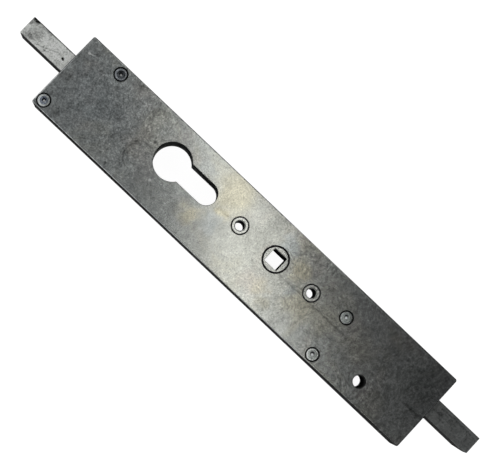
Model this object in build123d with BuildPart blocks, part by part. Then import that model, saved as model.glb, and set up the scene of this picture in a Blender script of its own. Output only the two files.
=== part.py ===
from build123d import *
import os
from math import acos, cos, pi, radians, sin, tan

os.makedirs("parts", exist_ok=True)

# A bi-fold door lock: one handle drives two bolts out of the two ends of a slim case.
# The origin is on the spindle's axis in the plane of the rear face. +Y points to the end
# with the cylinder, +X to the edge nearer the spindle, and +Z out of the front face.
# The bolts are thrown and the deadlock is open. All sizes are in millimetres.

# Standard interfaces
fixing_spacing = 43.0
spindle_socket_size = 7.1
key_to_spindle = 62.0
cylinder_round_diameter = 17.5
cylinder_slot_width = 10.5
cylinder_drop = 20.0
cylinder_screw_hole_diameter = 5.5
cam_sweep_radius = 15.5

# Case
case_depth = 15.0
front_wall = 2.3
cover_thickness = 2.3
side_wall = 2.2
cam_side_wall = 0.9
upper_guide_length = 13.1
lower_guide_length = 15.5
case_corner_radius = 1.0
front_edge_radius = 0.5
rear_edge_break = 0.4
hole_edge_break = 0.2
pocket_corner_radius = 1.5

# Pinion and racks
gear_module = 1.5
gear_teeth = 10
pressure_angle = radians(25)
gear_addendum = 0.8 * gear_module
gear_dedendum = 1.0 * gear_module
gear_backlash = 0.12
spindle_turn = radians(180)

# Bolts and rack bars
bolt_width = 9.8
bolt_projection = 25.0
bolt_edge_break = 0.45
strip_width = 5.0
foot_length = 8.5
foot_rivet_spacing = 4.8
foot_rivet_diameter = 2.6
foot_rivet_head_diameter = 3.8
foot_rivet_head_height = 0.7
bar_corner_radius = 1.2
upper_bolt_tip_radius = 1.1
upper_bolt_lead = 1.4
lower_bolt_lead = 1.6
lower_bolt_taper_length = 5.6
lower_bolt_taper_depth = 1.0
punch_mark_diameter = 0.8
punch_mark_depth = 0.5
punch_mark_from_case = 3.0
punch_mark_offset = 0.45

# Hub
hub_boss_diameter = 11.3
hub_edge_break = 0.25
hub_mouth_gap = 0.5
hub_mouth_depth = 0.9
nose_notch_clearance = 0.2
pinion_bay_gap = 0.8

# Deadlock slide and its spring
lock_plate_thickness = 3.3
lock_throw = 5.0
nose_width = 4.6
nose_length = 2.5
main_plate_web = 3.15
main_plate_left = -8.0
main_plate_right = 7.0
plate_corner_radius = 0.8
bridge_length = 10.5
spine_tail_length = 5.0
cam_notch = 17.0
lug_length = 4.5
lug_reach = 5.6
lug_side_gap = 1.2
detent_from_plate_edge = 10.5
detent_notch_depth = 1.0
detent_notch_half_width = 1.3
leaf_thickness = 0.4
leaf_half_length = 9.0
leaf_nose_half_width = 2.0
leaf_bend_radius = 0.8
leaf_nose_depth = 0.9
leaf_shoulder = 1.6
leaf_seat_depth = 0.8

# Spring that stops the lower bar from rattling
drag_spring_length = 15.0
drag_spring_margin = 0.65
drag_spring_thickness = 0.4
drag_recess_depth = 1.2
drag_recess_end_gap = 0.5

# Handle bushes
bush_end_diameter = 7.4
bush_collar_diameter = 9.0
bush_bore_diameter = 4.2
bush_mouth_break = 0.4

# Screws at the cylinder end
screw_head_diameter = 5.4
screw_head_height = 3.0
screw_shank_diameter = 2.96
screw_hex = 3.0
screw_hex_depth = 1.7
screw_recess_diameter = 3.6
screw_recess_depth = 0.2
head_below_face = 0.1
head_edge_break = 0.25

# Rivets below the spindle
rivet_head_height = 2.0
rivet_shank_diameter = 3.4
rivet_dish_diameter = 3.8
rivet_dish_depth = 0.2
rivet_dimple_diameter = 1.4
rivet_dimple_depth = 0.45
rivet_tail_diameter = 5.4
rivet_tail_height = 1.2

# Places of the fasteners, from the case's edges and from the spindle
left_fastener_inset = 4.0
right_fastener_inset = 4.3
upper_left_screw_from_end = 3.6
upper_right_screw_from_end = 19.8
rivet_row_from_channel = 6.6
right_rivet_offset = 2.8
lower_hole_diameter = 5.5
lower_hole_from_left = 9.4
lower_hole_from_spindle = 63.1
lower_hole_edge_break = 0.4
rivet_to_island_end = 5.1

# Clearances
level_gap = 0.2
cam_gap = 0.1
strip_gap = 0.3
side_gap = 0.2
end_gap = 0.5
stop_gap = 1.5
bush_slot_gap = 0.15
bush_gap = 0.3
head_gap = 0.55
shank_gap = 0.22
thread_gap = 0.02
running_gap = 0.1
rivet_gap = 0.02
touch_gap = 0.05

# Levels, from the rear face to the front face
z_cover = cover_thickness
z_roof = case_depth - front_wall
z_low = z_cover + level_gap
z_high = z_roof - level_gap
z_plate = z_high - lock_plate_thickness
z_disc = z_plate - level_gap
z_bar = z_disc - level_gap
z_middle = case_depth / 2

# Gear sizes
pitch_radius = gear_module * gear_teeth / 2
base_radius = pitch_radius * cos(pressure_angle)
tip_radius = pitch_radius + gear_addendum
root_radius = pitch_radius - gear_dedendum
tooth_pitch = pi * gear_module
travel = spindle_turn * pitch_radius
rack_face = pitch_radius - gear_addendum

# Case edges across, from the cam's sweep and the bar that passes beside it
x_right = cam_sweep_radius + cam_gap + cam_side_wall
x_right_inner = x_right - side_wall
strip_inner = cam_sweep_radius + strip_gap
x_left_inner = -(strip_inner + strip_width + side_gap)
x_left = x_left_inner - side_wall
bar_right = x_right_inner - side_gap
bar_left = x_left_inner + side_gap
bolt_half = bolt_width / 2
window_half = bolt_half + side_gap

# Rack heads, long enough to stay in mesh over the whole travel
head_near = 2 * tooth_pitch
head_far = travel + 2 * tooth_pitch
space_count = round((head_near + head_far) / tooth_pitch) + 1
rack_middle = (head_far - head_near) / 2

# Case edges along, from the bars' travel
cam_top = key_to_spindle + cam_sweep_radius + cam_gap
upper_foot_low = cam_top + strip_gap + travel
upper_foot_high = upper_foot_low + foot_length
upper_block = upper_foot_high + stop_gap
y_top = upper_block + upper_guide_length
island_half = rack_face - side_gap
island_top = -(tip_radius + pinion_bay_gap)
left_channel_end = -(head_near + travel + end_gap)
rivet_row_y = left_channel_end - rivet_row_from_channel
island_end = rivet_row_y - rivet_to_island_end
lower_foot_high = island_end - end_gap - travel
lower_foot_low = lower_foot_high - foot_length
lower_block = lower_foot_low - stop_gap
y_bottom = lower_block - lower_guide_length

# Hub and deadlock
disc_radius = tip_radius
nose_tip_locked = disc_radius + strip_gap - nose_length
notch_floor = nose_tip_locked - nose_notch_clearance
plate_low = disc_radius + strip_gap + lock_throw
bush_y = fixing_spacing / 2
slot_half_width = bush_collar_diameter / 2 + bush_slot_gap
plate_high = bush_y + lock_throw + level_gap + slot_half_width + main_plate_web
hub_pocket_top = max(plate_high, head_far) + end_gap
cam_notch_low = key_to_spindle + lock_throw / 2 - cam_notch / 2
cam_notch_high = cam_notch_low + cam_notch
detent_y = plate_low + detent_from_plate_edge
lug_tip = lug_reach - strip_inner
left_pocket_edge = lug_tip + lug_side_gap

# Ends of the leaf spring, and its seats in the case, which follow its slope
leaf_shoulder_x = main_plate_right + leaf_shoulder
leaf_end_x = x_right_inner + leaf_seat_depth - leaf_thickness / 2 - touch_gap
leaf_slope = (leaf_half_length - leaf_nose_half_width) / (leaf_end_x - leaf_shoulder_x)
leaf_seat_length = 2 * (leaf_slope * leaf_seat_depth + leaf_thickness + running_gap)

# Fastener holes and places
bush_hole_diameter = bush_end_diameter + 2 * bush_gap
head_counterbore_diameter = screw_head_diameter + 2 * head_gap
screw_hole_diameter = screw_shank_diameter + 2 * shank_gap
screw_tapped_diameter = screw_shank_diameter + 2 * thread_gap
upper_left_screw_at = (x_left + left_fastener_inset, y_top - upper_left_screw_from_end)
upper_right_screw_at = (x_right - right_fastener_inset, y_top - upper_right_screw_from_end)
lower_left_rivet_at = (x_left + left_fastener_inset, rivet_row_y)
lower_right_rivet_at = (right_rivet_offset, rivet_row_y)
lower_hole_at = (x_left + lower_hole_from_left, -lower_hole_from_spindle)
screw_places = (upper_left_screw_at, upper_right_screw_at)
rivet_places = (lower_left_rivet_at, lower_right_rivet_at)
bush_places = ((0, bush_y), (0, -bush_y))
drag_spring_y = (lower_foot_high + island_end) / 2


# Outline of the case, used by the body and the cover
def case_outline():
    with BuildSketch() as outline:
        with Locations(((x_left + x_right) / 2, (y_top + y_bottom) / 2)):
            RectangleRounded(x_right - x_left, y_top - y_bottom, case_corner_radius)
    return outline.sketch


# Keyhole of a profile cylinder: a round head over a straight slot with a round end
def cylinder_keyhole():
    with BuildSketch() as keyhole:
        with Locations((0, key_to_spindle)):
            Circle(cylinder_round_diameter / 2)
        with Locations((0, key_to_spindle - cylinder_drop / 2)):
            SlotCenterToCenter(cylinder_drop, cylinder_slot_width, rotation=90)
    return keyhole.sketch


# Pocket milled from the rear: two bar channels, the hub's bay, the cam's sweep and the bolt windows
def case_pocket():
    past_end = 5.0
    with BuildSketch() as pocket:
        with BuildLine():
            Polyline(
                (-window_half, y_bottom - past_end),
                (window_half, y_bottom - past_end),
                (window_half, lower_block),
                (x_right_inner, lower_block),
                (x_right_inner, hub_pocket_top),
                (left_pocket_edge, hub_pocket_top),
                (left_pocket_edge, key_to_spindle),
                (window_half, key_to_spindle),
                (window_half, y_top + past_end),
                (-window_half, y_top + past_end),
                (-window_half, upper_block),
                (x_left_inner, upper_block),
                (x_left_inner, left_channel_end),
                (-island_half, left_channel_end),
                (-island_half, island_top),
                (island_half, island_top),
                (island_half, island_end),
                (-window_half, island_end),
                close=True,
            )
        make_face()
        fillet(pocket.vertices(), pocket_corner_radius)
        with Locations((0, key_to_spindle)):
            Circle(cam_sweep_radius + cam_gap)
    return pocket.sketch


# Half the angle that a gear tooth takes at a radius, from the involute of its base circle
def tooth_half_angle(radius):
    at_pitch = pi / (2 * gear_teeth) - gear_backlash / (2 * pitch_radius)
    roll = acos(min(1.0, base_radius / radius))
    return at_pitch + tan(pressure_angle) - pressure_angle - (tan(roll) - roll)


# A point at a radius and an angle
def polar(radius, angle):
    return (radius * cos(angle), radius * sin(angle))


# One gear tooth along +X, sunk into the root circle, with involute flanks above the base circle
def gear_tooth():
    foot = root_radius - gear_addendum
    middle_radius = (base_radius + tip_radius) / 2
    base_angle = tooth_half_angle(base_radius)
    middle_angle = tooth_half_angle(middle_radius)
    tip_angle = tooth_half_angle(tip_radius)
    with BuildSketch() as tooth:
        with BuildLine():
            Line(polar(foot, -base_angle), polar(base_radius, -base_angle))
            ThreePointArc(
                polar(base_radius, -base_angle),
                polar(middle_radius, -middle_angle),
                polar(tip_radius, -tip_angle),
            )
            ThreePointArc(polar(tip_radius, -tip_angle), (tip_radius, 0), polar(tip_radius, tip_angle))
            ThreePointArc(
                polar(tip_radius, tip_angle),
                polar(middle_radius, middle_angle),
                polar(base_radius, base_angle),
            )
            Line(polar(base_radius, base_angle), polar(foot, base_angle))
            Line(polar(foot, base_angle), polar(foot, -base_angle))
        make_face()
    return tooth.sketch


# Spaces between the teeth of the rack on the +X side, cut past its face
def rack_spaces():
    past_face = 1.5 * gear_addendum
    half_at_pitch = tooth_pitch / 4 + gear_backlash / 4
    half_at_face = half_at_pitch + past_face * tan(pressure_angle)
    half_at_root = half_at_pitch - gear_dedendum * tan(pressure_angle)
    with BuildSketch() as spaces:
        with Locations((0, -rack_middle)):
            with GridLocations(0, tooth_pitch, 1, space_count):
                Polygon(
                    (pitch_radius - past_face, -half_at_face),
                    (pitch_radius + gear_dedendum, -half_at_root),
                    (pitch_radius + gear_dedendum, half_at_root),
                    (pitch_radius - past_face, half_at_face),
                    align=None,
                )
    return spaces.sketch


# Whether a corner of a bar's outline is one to round, and not an end of its toothed face
def away_from_teeth(corner):
    at_face = abs(abs(corner.X) - rack_face) < touch_gap
    return not at_face or abs(corner.Y) > head_far + touch_gap


# Side profile of a flush rivet with a cone at each end, drawn in the XZ plane
def flush_rivet_profile(grow):
    shank = foot_rivet_diameter / 2 + grow
    head = foot_rivet_head_diameter / 2 + grow
    with BuildSketch(Plane.XZ) as profile:
        with BuildLine():
            Polyline(
                (0, z_low),
                (head, z_low),
                (shank, z_low + foot_rivet_head_height),
                (shank, z_high - foot_rivet_head_height),
                (head, z_high),
                (0, z_high),
                close=True,
            )
        make_face()
    return profile.sketch


# Half section of the cover's seat for a case rivet's tail
def rivet_tail_seat():
    tail = rivet_tail_diameter / 2 + touch_gap
    shank = rivet_shank_diameter / 2 + touch_gap
    with BuildSketch(Plane.XZ) as seat:
        with BuildLine():
            Polyline(
                (0, 0),
                (tail, 0),
                (shank, rivet_tail_height),
                (shank, cover_thickness),
                (0, cover_thickness),
                close=True,
            )
        make_face()
    return seat.sketch


# Case body: a block milled out from the rear
with BuildPart() as case_body:
    with BuildSketch(Plane.XY.offset(z_cover)):
        add(case_outline())
    extrude(amount=case_depth - z_cover)
    fillet(case_body.faces().sort_by(Axis.Z)[-1].edges(), front_edge_radius)
    with BuildSketch(Plane.XY.offset(z_cover)):
        add(case_pocket())
    extrude(amount=z_roof - z_cover, mode=Mode.SUBTRACT)
    with BuildSketch(Plane.XY.offset(z_cover)):
        add(cylinder_keyhole())
    extrude(amount=case_depth - z_cover, mode=Mode.SUBTRACT)
    with BuildSketch(Plane.XY.offset(z_roof)):
        Circle(hub_boss_diameter / 2 + running_gap)
        with Locations(*bush_places):
            Circle(bush_hole_diameter / 2)
    extrude(amount=front_wall, mode=Mode.SUBTRACT)
    with BuildSketch(Plane.XY.offset(case_depth)):
        Circle(hub_boss_diameter / 2 + hub_mouth_gap)
    extrude(amount=-hub_mouth_depth, mode=Mode.SUBTRACT)
    front_rims = case_body.faces().sort_by(Axis.Z)[-1].inner_wires().edges()
    chamfer(front_rims, hole_edge_break)
    # The lower bush's collar stands in a bore through the island
    with BuildSketch(Plane.XY.offset(z_cover)):
        with Locations((0, -bush_y)):
            Circle(bush_collar_diameter / 2 + running_gap)
    extrude(amount=z_roof - z_cover, mode=Mode.SUBTRACT)
    # Fastener holes, sunk from the front
    with Locations(Plane.XY.offset(case_depth)):
        with Locations(*screw_places):
            CounterBoreHole(
                screw_hole_diameter / 2,
                head_counterbore_diameter / 2,
                screw_head_height + head_below_face,
            )
        with Locations(*rivet_places):
            CounterBoreHole(
                rivet_shank_diameter / 2 + touch_gap,
                head_counterbore_diameter / 2,
                rivet_head_height + head_below_face,
            )
        with Locations(lower_hole_at):
            CounterSinkHole(
                lower_hole_diameter / 2,
                lower_hole_diameter / 2 + lower_hole_edge_break,
                counter_sink_angle=90,
            )
    # Side hole for the screw that holds the cylinder
    with Locations(Plane.YZ.offset(x_right)):
        with Locations((key_to_spindle - cylinder_drop, z_middle)):
            Hole(cylinder_screw_hole_diameter / 2, depth=x_right)
    # Seats for the leaf spring's ends and the bowed spring, in the right wall
    with BuildSketch(Plane.XY.offset(z_cover)):
        with Locations(
            (x_right_inner, detent_y - leaf_half_length),
            (x_right_inner, detent_y + leaf_half_length),
        ):
            Rectangle(2 * leaf_seat_depth, leaf_seat_length)
        with Locations((x_right_inner, drag_spring_y)):
            Rectangle(2 * drag_recess_depth, drag_spring_length + 2 * drag_recess_end_gap)
    extrude(amount=z_roof - z_cover, mode=Mode.SUBTRACT)
case_body.part.label = "case_body"
export_step(case_body.part, "parts/case_body.step")

# Cover plate: closes the case at the rear and carries the screws' threads
with BuildPart() as cover_plate:
    with BuildSketch():
        add(case_outline())
    extrude(amount=cover_thickness)
    chamfer(cover_plate.faces().sort_by(Axis.Z)[0].edges(), rear_edge_break)
    with BuildSketch():
        add(cylinder_keyhole())
        Circle(hub_boss_diameter / 2 + running_gap)
        with Locations(*bush_places):
            Circle(bush_hole_diameter / 2)
        with Locations(*screw_places):
            Circle(screw_tapped_diameter / 2)
        with Locations(lower_hole_at):
            Circle(lower_hole_diameter / 2)
    extrude(amount=cover_thickness, mode=Mode.SUBTRACT)
    with Locations(*rivet_places):
        add(revolve(rivet_tail_seat(), Axis.Z, mode=Mode.PRIVATE), mode=Mode.SUBTRACT)
cover_plate.part.label = "cover_plate"
export_step(cover_plate.part, "parts/cover_plate.step")

# Hub: pinion, locking disc with two notches, and a boss in each wall, around the spindle's socket
with BuildPart() as drive_hub:
    with BuildSketch(Plane.XY.offset(z_low)):
        Circle(root_radius)
        with PolarLocations(0, gear_teeth):
            add(gear_tooth())
    extrude(amount=z_disc - z_low)
    with BuildSketch(Plane.XY.offset(z_disc)):
        Circle(disc_radius)
        with PolarLocations(notch_floor + disc_radius / 2, 2, start_angle=90):
            Rectangle(disc_radius, nose_width + 2 * nose_notch_clearance, mode=Mode.SUBTRACT)
    extrude(amount=z_high - z_disc)
    with BuildSketch():
        Circle(hub_boss_diameter / 2)
    extrude(amount=case_depth)
    chamfer(drive_hub.faces().sort_by(Axis.Z)[-1].edges(), hub_edge_break)
    chamfer(drive_hub.faces().sort_by(Axis.Z)[0].edges(), hub_edge_break)
    with BuildSketch():
        Rectangle(spindle_socket_size, spindle_socket_size)
    extrude(amount=case_depth, mode=Mode.SUBTRACT)
drive_hub.part.label = "drive_hub"
export_step(drive_hub.part, "parts/drive_hub.step")

# Upper rack bar: toothed head left of the hub, a strip past the cam, and a foot under the bolt
with BuildPart() as upper_rack_bar:
    with BuildSketch(Plane.XY.offset(z_low)) as upper_bar_outline:
        with BuildLine():
            Polyline(
                (bar_left, -head_near),
                (-rack_face, -head_near),
                (-rack_face, head_far),
                (-strip_inner, head_far),
                (-strip_inner, upper_foot_low),
                (bolt_half, upper_foot_low),
                (bolt_half, upper_foot_high),
                (bar_left, upper_foot_high),
                close=True,
            )
        make_face()
        fillet(upper_bar_outline.vertices().filter_by(away_from_teeth), bar_corner_radius)
        add(rack_spaces(), rotation=180, mode=Mode.SUBTRACT)
    extrude(amount=z_bar - z_low)
    with Locations((0, (upper_foot_low + upper_foot_high) / 2)):
        with GridLocations(foot_rivet_spacing, 0, 2, 1):
            add(revolve(flush_rivet_profile(rivet_gap), Axis.Z, mode=Mode.PRIVATE), mode=Mode.SUBTRACT)
upper_rack_bar.part.label = "upper_rack_bar"
export_step(upper_rack_bar.part, "parts/upper_rack_bar.step")

# Lower rack bar: toothed head right of the hub, and a foot under the lower bolt
with BuildPart() as lower_rack_bar:
    with BuildSketch(Plane.XY.offset(z_low)) as lower_bar_outline:
        with BuildLine():
            Polyline(
                (rack_face, head_near),
                (bar_right, head_near),
                (bar_right, lower_foot_low),
                (-bolt_half, lower_foot_low),
                (-bolt_half, lower_foot_high),
                (rack_face, lower_foot_high),
                close=True,
            )
        make_face()
        fillet(lower_bar_outline.vertices().filter_by(away_from_teeth), bar_corner_radius)
        add(rack_spaces(), mode=Mode.SUBTRACT)
    extrude(amount=z_bar - z_low)
    with Locations((0, (lower_foot_low + lower_foot_high) / 2)):
        with GridLocations(foot_rivet_spacing, 0, 2, 1):
            add(revolve(flush_rivet_profile(rivet_gap), Axis.Z, mode=Mode.PRIVATE), mode=Mode.SUBTRACT)
lower_rack_bar.part.label = "lower_rack_bar"
export_step(lower_rack_bar.part, "parts/lower_rack_bar.step")


# Cross-section of both bolts, with its long edges broken
def bolt_section():
    with BuildSketch() as section:
        with Locations((0, (z_low + z_high) / 2)):
            Rectangle(bolt_width, z_high - z_low)
        chamfer(section.vertices(), bolt_edge_break)
    return section.sketch


# Upper bolt: lapped over its bar's foot, with one rounded corner and a short lead at the tip
upper_tip = y_top + bolt_projection
with BuildPart() as upper_bolt:
    with BuildSketch(Plane.XZ.offset(-upper_foot_low)):
        add(bolt_section())
    extrude(amount=upper_foot_low - upper_tip)
    with BuildSketch() as upper_plan:
        with Locations((0, (upper_foot_low + upper_tip) / 2)):
            Rectangle(bolt_width, upper_tip - upper_foot_low)
        fillet(upper_plan.vertices().group_by(Axis.Y)[0], bar_corner_radius)
        fillet(upper_plan.vertices().sort_by_distance((-bolt_half, upper_tip))[0], upper_bolt_tip_radius)
    extrude(amount=case_depth, mode=Mode.INTERSECT)
    with BuildSketch(Plane.YZ):
        with Locations((upper_foot_low, z_low)):
            Rectangle(foot_length, z_bar - z_low, align=Align.MIN)
        with BuildLine():
            Polyline(
                (upper_tip, z_low + upper_bolt_lead),
                (upper_tip, z_low),
                (upper_tip - upper_bolt_lead, z_low),
                close=True,
            )
        make_face()
    extrude(amount=bolt_half, both=True, mode=Mode.SUBTRACT)
    with Locations((0, (upper_foot_low + upper_foot_high) / 2)):
        with GridLocations(foot_rivet_spacing, 0, 2, 1):
            add(revolve(flush_rivet_profile(rivet_gap), Axis.Z, mode=Mode.PRIVATE), mode=Mode.SUBTRACT)
    with Locations((-punch_mark_offset, y_top + punch_mark_from_case, z_high)):
        Hole(punch_mark_diameter / 2, depth=punch_mark_depth)
upper_bolt.part.label = "upper_bolt"
export_step(upper_bolt.part, "parts/upper_bolt.step")

# Lower bolt: lapped over its bar's foot, with a tapered side and a short lead at the tip
lower_tip = y_bottom - bolt_projection
with BuildPart() as lower_bolt:
    with BuildSketch(Plane.XZ.offset(-lower_foot_high)):
        add(bolt_section())
    extrude(amount=lower_foot_high - lower_tip)
    with BuildSketch() as lower_plan:
        with BuildLine():
            Polyline(
                (bolt_half, lower_foot_high),
                (bolt_half, lower_tip),
                (lower_bolt_taper_depth - bolt_half, lower_tip),
                (-bolt_half, lower_tip + lower_bolt_taper_length),
                (-bolt_half, lower_foot_high),
                close=True,
            )
        make_face()
        fillet(lower_plan.vertices().group_by(Axis.Y)[-1], bar_corner_radius)
    extrude(amount=case_depth, mode=Mode.INTERSECT)
    with BuildSketch(Plane.YZ):
        with Locations((lower_foot_low, z_low)):
            Rectangle(foot_length, z_bar - z_low, align=Align.MIN)
        with BuildLine():
            Polyline(
                (lower_tip, z_low + lower_bolt_lead),
                (lower_tip, z_low),
                (lower_tip + lower_bolt_lead, z_low),
                close=True,
            )
        make_face()
    extrude(amount=bolt_half, both=True, mode=Mode.SUBTRACT)
    with Locations((0, (lower_foot_low + lower_foot_high) / 2)):
        with GridLocations(foot_rivet_spacing, 0, 2, 1):
            add(revolve(flush_rivet_profile(rivet_gap), Axis.Z, mode=Mode.PRIVATE), mode=Mode.SUBTRACT)
lower_bolt.part.label = "lower_bolt"
export_step(lower_bolt.part, "parts/lower_bolt.step")

# Rivets that join each bolt to its bar's foot
with BuildPart() as upper_bolt_rivets:
    with Locations((0, (upper_foot_low + upper_foot_high) / 2)):
        with GridLocations(foot_rivet_spacing, 0, 2, 1):
            add(revolve(flush_rivet_profile(0), Axis.Z, mode=Mode.PRIVATE))
upper_bolt_rivets.part.label = "upper_bolt_rivets"
export_step(upper_bolt_rivets.part, "parts/upper_bolt_rivets.step")

with BuildPart() as lower_bolt_rivets:
    with Locations((0, (lower_foot_low + lower_foot_high) / 2)):
        with GridLocations(foot_rivet_spacing, 0, 2, 1):
            add(revolve(flush_rivet_profile(0), Axis.Z, mode=Mode.PRIVATE))
lower_bolt_rivets.part.label = "lower_bolt_rivets"
export_step(lower_bolt_rivets.part, "parts/lower_bolt_rivets.step")


# Half section of a handle bush: a collar held between the walls, and a bore with open mouths
def bush_profile():
    bore = bush_bore_diameter / 2
    end = bush_end_diameter / 2
    collar = bush_collar_diameter / 2
    with BuildSketch(Plane.XZ) as profile:
        with BuildLine():
            Polyline(
                (bore, bush_mouth_break),
                (bore + bush_mouth_break, 0),
                (end, 0),
                (end, z_cover),
                (collar, z_cover),
                (collar, z_roof),
                (end, z_roof),
                (end, case_depth),
                (bore + bush_mouth_break, case_depth),
                (bore, case_depth - bush_mouth_break),
                close=True,
            )
        make_face()
    return profile.sketch


# Handle bushes, one each side of the spindle
for bush_name, bush_at in zip(("upper_handle_bush", "lower_handle_bush"), bush_places):
    with BuildPart() as handle_bush:
        with Locations(bush_at):
            add(revolve(bush_profile(), Axis.Z, mode=Mode.PRIVATE))
        rims = handle_bush.edges().filter_by(GeomType.CIRCLE)
        outer_rims = rims.filter_by(lambda rim: abs(rim.radius - bush_end_diameter / 2) < touch_gap)
        chamfer(outer_rims.group_by(Axis.Z)[0] + outer_rims.group_by(Axis.Z)[-1], hole_edge_break)
    handle_bush.part.label = bush_name
    export_step(handle_bush.part, f"parts/{bush_name}.step")

# Socket-head screws at the cylinder end, threaded into the cover
head_top = case_depth - head_below_face
for screw_name, screw_at in zip(("upper_left_screw", "upper_right_screw"), screw_places):
    with BuildPart() as cap_screw:
        with BuildSketch(Plane.XY.offset(head_top - screw_head_height)):
            with Locations(screw_at):
                Circle(screw_head_diameter / 2)
        extrude(amount=screw_head_height)
        chamfer(cap_screw.faces().sort_by(Axis.Z)[-1].edges(), head_edge_break)
        with BuildSketch(Plane.XY.offset(touch_gap)):
            with Locations(screw_at):
                Circle(screw_shank_diameter / 2)
        extrude(amount=head_top - screw_head_height - touch_gap)
        with BuildSketch(Plane.XY.offset(head_top)):
            with Locations(screw_at):
                Circle(screw_recess_diameter / 2)
        extrude(amount=-screw_recess_depth, mode=Mode.SUBTRACT)
        with BuildSketch(Plane.XY.offset(head_top)):
            with Locations(screw_at):
                RegularPolygon(screw_hex / 2, 6, major_radius=False)
        extrude(amount=-screw_hex_depth, mode=Mode.SUBTRACT)
    cap_screw.part.label = screw_name
    export_step(cap_screw.part, f"parts/{screw_name}.step")


# Half section of a case rivet: dished head with a centre dimple, shank, and a tail formed flush
def case_rivet_profile():
    head = screw_head_diameter / 2
    shank = rivet_shank_diameter / 2
    tail = rivet_tail_diameter / 2
    dish = rivet_dish_diameter / 2
    dimple = rivet_dimple_diameter / 2
    dish_floor = head_top - rivet_dish_depth
    with BuildSketch(Plane.XZ) as profile:
        with BuildLine():
            Polyline(
                (0, 0),
                (tail, 0),
                (shank, rivet_tail_height),
                (shank, head_top - rivet_head_height),
                (head, head_top - rivet_head_height),
                (head, head_top - head_edge_break),
                (head - head_edge_break, head_top),
                (dish, head_top),
                (dish - rivet_dish_depth, dish_floor),
                (dimple, dish_floor),
                (0, dish_floor - rivet_dimple_depth),
                close=True,
            )
        make_face()
    return profile.sketch


# Rivets below the spindle, which hold the cover
for rivet_name, rivet_at in zip(("lower_left_rivet", "lower_right_rivet"), rivet_places):
    with BuildPart() as case_rivet:
        with Locations(rivet_at):
            add(revolve(case_rivet_profile(), Axis.Z, mode=Mode.PRIVATE))
    case_rivet.part.label = rivet_name
    export_step(case_rivet.part, f"parts/{rivet_name}.step")

# Deadlock slide: lugs that the cylinder's cam pushes, a slot round the upper bush, a nose for
# the hub's notches, and two notches for the leaf spring
spine_low = plate_high - bridge_length - spine_tail_length
with BuildPart() as deadlock_slide:
    with BuildSketch(Plane.XY.offset(z_plate)) as slide_outline:
        with BuildLine():
            Polyline(
                (bar_left, spine_low),
                (-strip_inner, spine_low),
                (-strip_inner, plate_high - bridge_length),
                (main_plate_left, plate_high - bridge_length),
                (main_plate_left, plate_low),
                (main_plate_right, plate_low),
                (main_plate_right, plate_high),
                (-strip_inner, plate_high),
                (-strip_inner, cam_notch_low - lug_length),
                (lug_tip, cam_notch_low - lug_length),
                (lug_tip, cam_notch_low),
                (-strip_inner, cam_notch_low),
                (-strip_inner, cam_notch_high),
                (lug_tip, cam_notch_high),
                (lug_tip, cam_notch_high + lug_length),
                (bar_left, cam_notch_high + lug_length),
                close=True,
            )
        make_face()
        fillet(slide_outline.vertices(), plate_corner_radius)
        with Locations((0, plate_low)):
            Rectangle(nose_width, 2 * nose_length)
        with Locations((0, bush_y + lock_throw / 2)):
            SlotCenterToCenter(
                lock_throw + 2 * level_gap,
                2 * slot_half_width,
                rotation=90,
                mode=Mode.SUBTRACT,
            )
        with Locations((main_plate_right, detent_y), (main_plate_right, detent_y + lock_throw)):
            Polygon(
                (0, -detent_notch_half_width),
                (0, detent_notch_half_width),
                (-detent_notch_depth, 0),
                align=None,
                mode=Mode.SUBTRACT,
            )
    extrude(amount=z_high - z_plate)
deadlock_slide.part.label = "deadlock_slide"
export_step(deadlock_slide.part, "parts/deadlock_slide.step")

# Leaf spring: its nose drops into one of the slide's two notches
leaf_width = z_high - z_plate - 2 * level_gap
with BuildPart() as deadlock_spring:
    with BuildSketch(Plane.XY.offset(z_plate + level_gap)):
        with BuildLine() as leaf_path:
            FilletPolyline(
                (leaf_end_x, detent_y - leaf_half_length),
                (leaf_shoulder_x, detent_y - leaf_nose_half_width),
                (main_plate_right - leaf_nose_depth, detent_y),
                (leaf_shoulder_x, detent_y + leaf_nose_half_width),
                (leaf_end_x, detent_y + leaf_half_length),
                radius=leaf_bend_radius,
            )
        trace(leaf_path.line, leaf_thickness)
    extrude(amount=leaf_width)
deadlock_spring.part.label = "deadlock_spring"
export_step(deadlock_spring.part, "parts/deadlock_spring.step")

# Bowed spring that bears on the lower bar's outer edge
drag_end_x = x_right_inner + drag_recess_depth - drag_spring_thickness / 2 - touch_gap
drag_crown_x = bar_right + drag_spring_thickness / 2 + touch_gap
drag_half = drag_spring_length / 2
drag_low = z_low + drag_spring_margin
with BuildPart() as bar_drag_spring:
    with BuildSketch(Plane.XY.offset(drag_low)):
        with BuildLine() as drag_path:
            ThreePointArc(
                (drag_end_x, drag_spring_y - drag_half),
                (drag_crown_x, drag_spring_y),
                (drag_end_x, drag_spring_y + drag_half),
            )
        trace(drag_path.line, drag_spring_thickness)
    extrude(amount=z_bar - drag_spring_margin - drag_low)
bar_drag_spring.part.label = "bar_drag_spring"
export_step(bar_drag_spring.part, "parts/bar_drag_spring.step")
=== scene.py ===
import math

import bmesh
import bpy
from bpy.props import FloatProperty, FloatVectorProperty, IntProperty, PointerProperty
from mathutils import Matrix, Vector


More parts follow.
